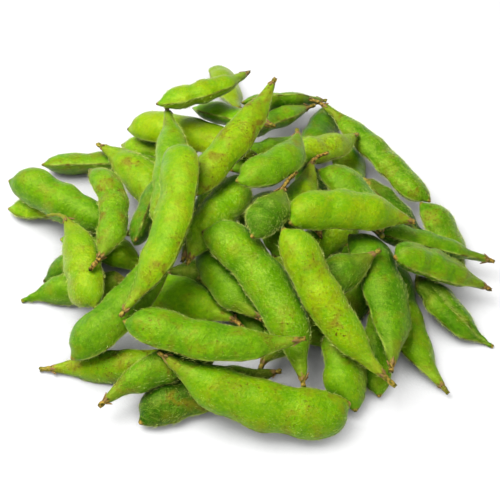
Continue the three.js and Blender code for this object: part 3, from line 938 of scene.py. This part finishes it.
def growDown(name, skin, pod, look, amount, draw):
    # hairs stand on the skin and lean to the beak
    mesh = skin.data
    places = np.zeros(len(mesh.vertices) * 3)
    mesh.vertices.foreach_get("co", places)
    places = places.reshape(-1, 3) / mm
    way, seam, dry = (np.zeros(len(mesh.vertices)) for _ in range(3))
    for values, mark in ((way, "way"), (seam, "seam"), (dry, "dry")):
        mesh.attributes[mark].data.foreach_get("value", values)
    quads = np.array([list(face.vertices) for face in mesh.polygons if len(face.vertices) == 4])
    corners = places[quads]
    crossing = np.cross(corners[:, 2] - corners[:, 0], corners[:, 3] - corners[:, 1])
    area = np.linalg.norm(crossing, axis=1) / 2
    weight = area * (1 + look["seamCrowd"] * seam[quads[:, 0]]) * (dry[quads[:, 0]] < look["bareFrom"])
    count = int(look["density"] * amount * len(places))
    chosen = draw.choice(len(quads), count, p=weight / weight.sum())
    share = draw.dirichlet((1, 1, 1, 1), count)
    root = (corners[chosen] * share[:, :, None]).sum(1)
    normal = unit(crossing[chosen])
    ways = way[quads[chosen, 0]]
    before, after = (along(pod["ways"], pod["middles"], ways + step) for step in (-0.5, 0.5))
    ahead = after - before
    ahead -= normal * (ahead * normal).sum(1, keepdims=True)
    ahead = unit(ahead + draw.normal(0, look["waySpread"], (count, 3)))
    lean = np.radians(draw.normal(look["lean"], look["leanSpread"], count))[:, None]
    upright = normal * np.cos(lean) + ahead * np.sin(lean)
    upright = unit(upright + draw.normal(0, look["tipSpread"], (count, 3)))
    over = unit(ahead - upright * (ahead * upright).sum(1, keepdims=True))
    sideways = np.cross(upright, over)
    length = draw.uniform(*look["length"], count) * (1 + look["seamLength"] * seam[quads[chosen, 0]])
    length = length[:, None, None]
    x, y, z = (hairPlaces[:, i][None, :, None] for i in range(3))
    points = (
        root[:, None] - look["rooted"] * normal[:, None]
        + over[:, None] * (look["thickness"] * x + look["bend"] * length * z ** 2)
        + sideways[:, None] * look["thickness"] * y
        + upright[:, None] * z * length
    )
    points[:, :, 2] = np.maximum(points[:, :, 2], leastHeight)
    faces = (hairFaces[None] + (np.arange(count) * len(hairPlaces))[:, None, None]).reshape(-1, 3)
    down = bpy.data.meshes.new(name)
    down.from_pydata((points.reshape(-1, 3) * mm).tolist(), [], faces.tolist())
    down.materials.append(downMaterial)
    piece = bpy.data.objects.new(name, down)
    bpy.context.collection.objects.link(piece)
    return piece


calyxLook = {
    "lobes": 5,
    "lobeStray": 0.25,  # of the way round from lobe to lobe
    "length": 2.6,
    "lengthRange": (0.55, 1.15),  # of that
    "width": 1.1,
    "taper": (1.15, 0.75),  # of the width at the foot, and how much of it is lost by the tip
    "thickness": 0.26,
    "tipThickness": 2,  # that many times more at the tip
    "tipTurn": 0.25,  # outwards, of the thickness
    "place": 0.1,  # along the pod
    "back": 0.5,  # and a lobe starts that far before it
    "out": 0.9,  # from the middle line
    "spread": 6,  # degrees that a lobe stands off the pod
    "spreadRange": (-10, 18),  # and more or less than that
    "curl": 0.25,  # off the pod, of the length
    "curlRange": (-0.4, 1),  # of that
}


def modelSepal(tipTurn):
    # a unit long and round, until a calyx makes it as flat as a leaf
    bpy.ops.mesh.primitive_uv_sphere_add(segments=8, ring_count=6, radius=0.5, location=(0, 0, 0.5))
    sepal = bpy.context.object
    bpy.ops.object.transform_apply(location=True)
    places = np.array([corner.co for corner in sepal.data.vertices])
    faces = [list(face.vertices) for face in sepal.data.polygons]
    bpy.data.objects.remove(sepal)
    places[:, 0] += tipTurn * places[:, 2] ** 2
    return places, faces


sepalPlaces, sepalFaces = modelSepal(calyxLook["tipTurn"])


def growCalyx(name, pod, look, size, draw):
    # withered lobes round the pod's foot
    start = np.array([look["place"]])
    middle = along(pod["ways"], pod["middles"], start)[0]
    across = unit(along(pod["ways"], pod["across"], start))[0]
    up = unit(along(pod["ways"], pod["up"], start))[0]
    ahead = np.cross(across, up)
    points, faces = [], []
    for i in range(look["lobes"]):
        angle = 2 * math.pi * (i + draw.uniform(-look["lobeStray"], look["lobeStray"])) / look["lobes"]
        out = across * math.cos(angle) + up * math.sin(angle)
        side = np.cross(ahead, out)
        spread = math.radians(look["spread"] + draw.uniform(*look["spreadRange"]))
        leaf = ahead * math.cos(spread) + out * math.sin(spread)
        face = out * math.cos(spread) - ahead * math.sin(spread)
        length = look["length"] * size * draw.uniform(*look["lengthRange"])
        x, y, z = (sepalPlaces[:, k:k + 1] for k in range(3))
        width = look["width"] * size * (look["taper"][0] - look["taper"][1] * z)
        thickness = look["thickness"] * (1 + look["tipThickness"] * z)
        curl = look["curl"] * length * draw.uniform(*look["curlRange"])
        faces += [[corner + len(points) * len(sepalPlaces) for corner in f] for f in sepalFaces]
        points.append(
            middle + out * look["out"] - ahead * look["back"]
            + face * (x * thickness + curl * z ** 2)
            + side * y * width
            + leaf * z * length
        )
    points = np.concatenate(points)
    points[:, 2] = np.maximum(points[:, 2], leastHeight)
    mesh = bpy.data.meshes.new(name)
    mesh.from_pydata((points * mm).tolist(), [], faces)
    mesh.materials.append(calyxMaterial)
    for polygon in mesh.polygons:
        polygon.use_smooth = True
    piece = bpy.data.objects.new(name, mesh)
    bpy.context.collection.objects.link(piece)
    return piece


# what every pod starts from: tone is from deep green to yellow green, and partly painted light and shade;
# the next is how pale, and partly painted light and shade too; rub is how freckled and browned, down is
# how hairy, crease is where a dent runs on its face, from the lower seam (-1) to the upper (1), with 0
# for none, and calyx is the size of its lobes
usualLook = {"toneAndPaintedLight": -0.3, "palenessAndPaintedLight": 1, "rub": 0.6, "down": 0.9, "crease": 0, "calyx": 1}

# and what is drawn for each: how brown the stalk is, and how far the beans show
lookRanges = {"wither": (0.5, 1), "swell": (0.8, 1.3)}

# what a pod has of its own goes before both; its tone and how pale it is are partly painted light on pods
# that lie in shade and painted shade on low ones
podLooks = {
    1: {"toneAndPaintedLight": 0.6, "down": 0.8, "wither": 0.8, "swell": 0.9},
    2: {"toneAndPaintedLight": 0.75, "rub": 1.1, "down": 0.7, "wither": 0.8, "swell": 0.6},
    3: {"toneAndPaintedLight": 0.6, "palenessAndPaintedLight": 1.06, "rub": 0.4, "down": 1.2, "wither": 0.9, "swell": 1.7},
    4: {"toneAndPaintedLight": 0.9, "rub": 0.3, "down": 1.6},
    5: {"toneAndPaintedLight": 1.0, "palenessAndPaintedLight": 1.1, "rub": 0.5, "down": 0.7, "swell": 0.8},
    6: {"toneAndPaintedLight": 0.8, "palenessAndPaintedLight": 1.35, "rub": 0.9, "down": 1.4},
    7: {"toneAndPaintedLight": 0.3, "rub": 0.8},
    8: {"toneAndPaintedLight": 0.45, "rub": 0.7, "down": 1.6, "wither": 0.7, "swell": 0.5},
    9: {"toneAndPaintedLight": 0.1, "down": 0.7},
    10: {"toneAndPaintedLight": 0.6, "palenessAndPaintedLight": 1.25, "down": 1.5},
    11: {"toneAndPaintedLight": -0.5, "rub": 0.5, "down": 0.8},
    12: {"toneAndPaintedLight": 0.3, "rub": 1.1, "down": 1.5, "wither": 1.0, "swell": 0.8},
    13: {"toneAndPaintedLight": 0.7, "palenessAndPaintedLight": 1.06, "rub": 0.8, "down": 1.4, "wither": 0.6},
    14: {"toneAndPaintedLight": -0.4, "swell": 0.5},
    15: {"toneAndPaintedLight": 0.75, "down": 1.3, "wither": 0.15, "swell": 0.8},
    16: {"toneAndPaintedLight": 0.6, "palenessAndPaintedLight": 1.6, "down": 0.8},
    17: {"toneAndPaintedLight": 0.1, "down": 0.8, "wither": 0.4},
    18: {"toneAndPaintedLight": -0.1, "rub": 0.4, "down": 1.0, "swell": 0.8},
    19: {"toneAndPaintedLight": 0.65, "palenessAndPaintedLight": 1.08, "rub": 1.1, "down": 0.8, "wither": 0.7, "swell": 0.6},
    20: {"toneAndPaintedLight": 0.05, "rub": 1.0, "wither": 0.9},
    21: {"toneAndPaintedLight": -0.9, "rub": 0.7, "down": 1.3, "swell": 0.9},
    22: {"toneAndPaintedLight": 0.45, "rub": 0.7, "down": 1.1, "wither": 0.9, "swell": 1.8},
    23: {"toneAndPaintedLight": 0.1, "rub": 0.7, "down": 0.8, "wither": 0.8, "swell": 0.7},
    24: {"toneAndPaintedLight": 0.25, "palenessAndPaintedLight": 1.6, "rub": 0.5, "down": 0.7, "wither": 1.0},
    25: {"toneAndPaintedLight": 0.1, "rub": 0.5, "down": 1.0},
    26: {"palenessAndPaintedLight": 1.15, "rub": 0.5},
    27: {"toneAndPaintedLight": 0.5, "palenessAndPaintedLight": 1.6, "down": 2.1, "wither": 0.8, "swell": 0.7},
    28: {"toneAndPaintedLight": 0.1, "rub": 0.5, "down": 1.7, "wither": 0.8, "swell": 0.7},
    29: {"toneAndPaintedLight": 0.7, "palenessAndPaintedLight": 1.04, "down": 1.2, "wither": 0.7, "swell": 0.8},
    30: {"toneAndPaintedLight": 0.35, "rub": 0.7, "down": 0.7, "swell": 2.6},
    31: {"toneAndPaintedLight": 0.05, "palenessAndPaintedLight": 1.12, "rub": 0.5},
    32: {"palenessAndPaintedLight": 1.2},
    33: {"toneAndPaintedLight": -0.6},
    35: {"toneAndPaintedLight": 0.6, "palenessAndPaintedLight": 1.04, "rub": 0.35, "down": 0.8, "wither": 0.9, "swell": 0.9},
    36: {"toneAndPaintedLight": 0.6, "palenessAndPaintedLight": 1.6, "rub": 0.4, "down": 1.9, "swell": 0.7},
    37: {"toneAndPaintedLight": -0.6, "rub": 0.5, "down": 1.0, "wither": 0.6, "swell": 0.6, "calyx": 1.5},
    38: {"toneAndPaintedLight": -0.25, "wither": 0.9, "swell": 1.3},
    39: {"toneAndPaintedLight": 0.35, "rub": 0.5, "down": 0.8, "wither": 0.6, "swell": 0.7},
    40: {"toneAndPaintedLight": 0.0, "palenessAndPaintedLight": 1.2, "wither": 1.0},
    41: {"toneAndPaintedLight": 0.0, "palenessAndPaintedLight": 1.03, "rub": 0.5, "down": 0.8, "swell": 1.5},
    42: {"toneAndPaintedLight": 0.2, "rub": 0.7, "down": 0.8, "swell": 0.8, "crease": -0.3},
    43: {"toneAndPaintedLight": -0.35, "rub": 0.5, "down": 0.8, "swell": 1.9, "crease": -0.15},
    44: {"toneAndPaintedLight": 0.0, "rub": 0.7, "down": 1.0},
    45: {"toneAndPaintedLight": -0.6, "rub": 0.5, "down": 0.8},
    46: {"toneAndPaintedLight": 0.1, "rub": 0.9, "down": 1.8, "wither": 1.0, "swell": 1.6},
    47: {"toneAndPaintedLight": 0.2, "palenessAndPaintedLight": 1.2, "down": 1.0},
    48: {"toneAndPaintedLight": 0.0, "palenessAndPaintedLight": 1.15, "rub": 0.8, "wither": 0.8},
    50: {"toneAndPaintedLight": 0.9, "palenessAndPaintedLight": 1.15, "down": 2.2, "swell": 1.5},
    51: {"toneAndPaintedLight": 0.7, "palenessAndPaintedLight": 1.35},
    52: {"toneAndPaintedLight": 0.2, "rub": 0.5, "down": 1.0, "swell": 0.6},
    53: {"toneAndPaintedLight": 0.7, "palenessAndPaintedLight": 1.45, "rub": 0.7, "down": 1.2, "wither": 1.0},
    54: {"toneAndPaintedLight": -0.2, "rub": 0.4},
    55: {"toneAndPaintedLight": 0.0, "down": 0.8},
    56: {"toneAndPaintedLight": -0.45, "palenessAndPaintedLight": 0.95, "rub": 0.4, "down": 1.3, "wither": 0.9, "swell": 0.6},
    57: {"toneAndPaintedLight": -0.9, "palenessAndPaintedLight": 0.8, "rub": 0.5},
    58: {"toneAndPaintedLight": -0.7, "rub": 0.5},
    59: {"toneAndPaintedLight": 0.2, "palenessAndPaintedLight": 1.15, "rub": 0.5},
    60: {"toneAndPaintedLight": 0.3, "palenessAndPaintedLight": 1.6, "rub": 0.5},
}

# a stain: its place as a part of the way from the calyx and one from the lower seam (-1) to the
# upper (1), and its size in mm
podStains = {
    1: [(0.06, 0.2, 3), (0.12, -0.8, 3), (0.25, -0.95, 3), (0.4, -0.95, 2)],
    2: [(0.2, -0.3, 4), (0.35, 0.6, 3), (0.55, -0.5, 2.5)],
    5: [(0.3, 0.2, 3)],
    8: [(0.1, 0, 2.5)],
    12: [
        (0.15, -0.95, 3), (0.4, -0.95, 3), (0.65, -0.95, 3), (0.9, -0.6, 3),
        (0.15, 0.95, 3), (0.4, 0.95, 3), (0.65, 0.95, 3),
    ],
    13: [(0.35, 0.1, 3)],
    19: [(0.4, 0.1, 4), (0.6, -0.2, 3.5)],
    20: [(0.2, 0.3, 2.5)],
    21: [(0.5, 0.2, 5), (0.7, 0, 4)],
    22: [(0.1, 0.2, 3.5), (0.75, 0.3, 2.5)],
    23: [(0.82, 0, 3), (0.15, -0.4, 4)],
    24: [(0.04, 0, 3), (0.85, 0.2, 2.5)],
    28: [(0.28, 0, 2.5)],
    29: [(0.35, 0.3, 3.5), (0.75, -0.2, 3)],
    30: [(0.3, 0.2, 2)],
    35: [(0.05, 0.5, 3.5)],
    41: [(0.2, 0.4, 3)],
    42: [(0.5, -0.3, 4)],
    44: [(0.75, 0.2, 4)],
    46: [(0.9, 0.3, 3)],
    50: [(0.5, 0.2, 3)],
    52: [(0.2, 0, 2.5)],
    53: [(0.15, 0.5, 3)],
    55: [(0.8, 0.3, 2.5)],
}

firstSeed = 500

for name, node in sorted(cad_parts.items()):
    number = int(name.split("_")[1])
    draw = np.random.default_rng(firstSeed + number)
    pod = measurePod(node, ringPlan)
    look = dict(usualLook, stains=podStains.get(number, []))
    look.update({part: draw.uniform(*between) for part, between in lookRanges.items()})
    look.update(podLooks.get(number, {}))
    skin = wrapPod(f"pod{number:02d}Skin", pod, podForm, look, draw)
    for mark in ("toneAndPaintedLight", "palenessAndPaintedLight", "rub", "wither"):
        paint(skin, mark, look[mark])
    paint(skin, "downy", look["down"] - skinLook["bareDown"])
    skin.data.materials.append(podSkin)
    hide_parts(name)
    down = growDown(f"pod{number:02d}Down", skin, pod, downLook, look["down"], draw)
    calyx = growCalyx(f"pod{number:02d}Calyx", pod, calyxLook, look["calyx"], draw)
    for piece in (skin, down, calyx):
        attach(piece, "root")
print("pods ready")
